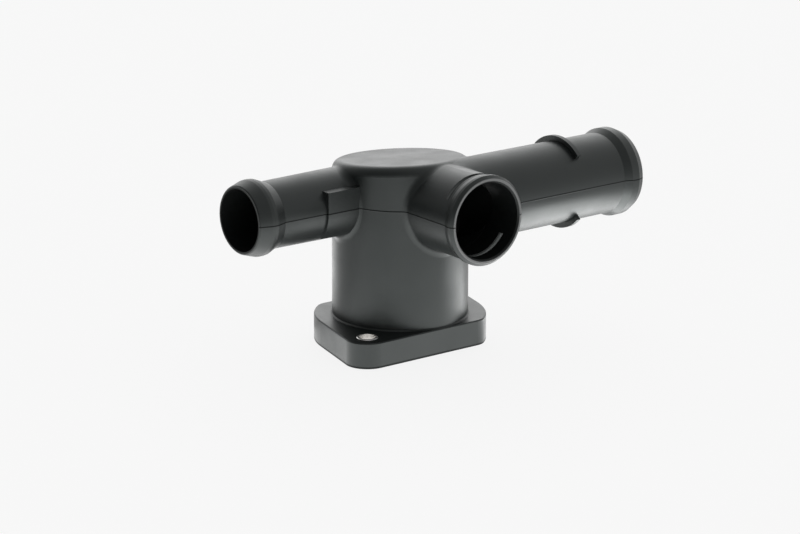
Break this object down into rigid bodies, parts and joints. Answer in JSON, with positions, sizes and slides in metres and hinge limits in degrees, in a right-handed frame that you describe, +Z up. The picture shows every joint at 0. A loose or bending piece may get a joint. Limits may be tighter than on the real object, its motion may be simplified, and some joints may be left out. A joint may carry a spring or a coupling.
{
  "type": "coolant flange",
  "caption": "Moulded coolant housing: upright tube on a bolted foot, tilted closed lid, beaded hose stubs to either side and a clip-slotted plug socket in front.",
  "frame": {"origin": "middle of the seating face, on the tube's axis and halfway between the bolts", "axes": "+Z up along the tube, +X along the long hose stub, -Y out of the plug socket"},
  "size_m": [0.1615, 0.0784, 0.0752],
  "materials": {
    "moulding": "satin, glass-filled polyamide with fine parting lines",
    "sleeve": "plain, turned"
  },
  "bodies": {
    "root": {"housing": "moulding", "sleeve_left": "sleeve", "sleeve_right": "sleeve"}
  },
  "joints": []
}
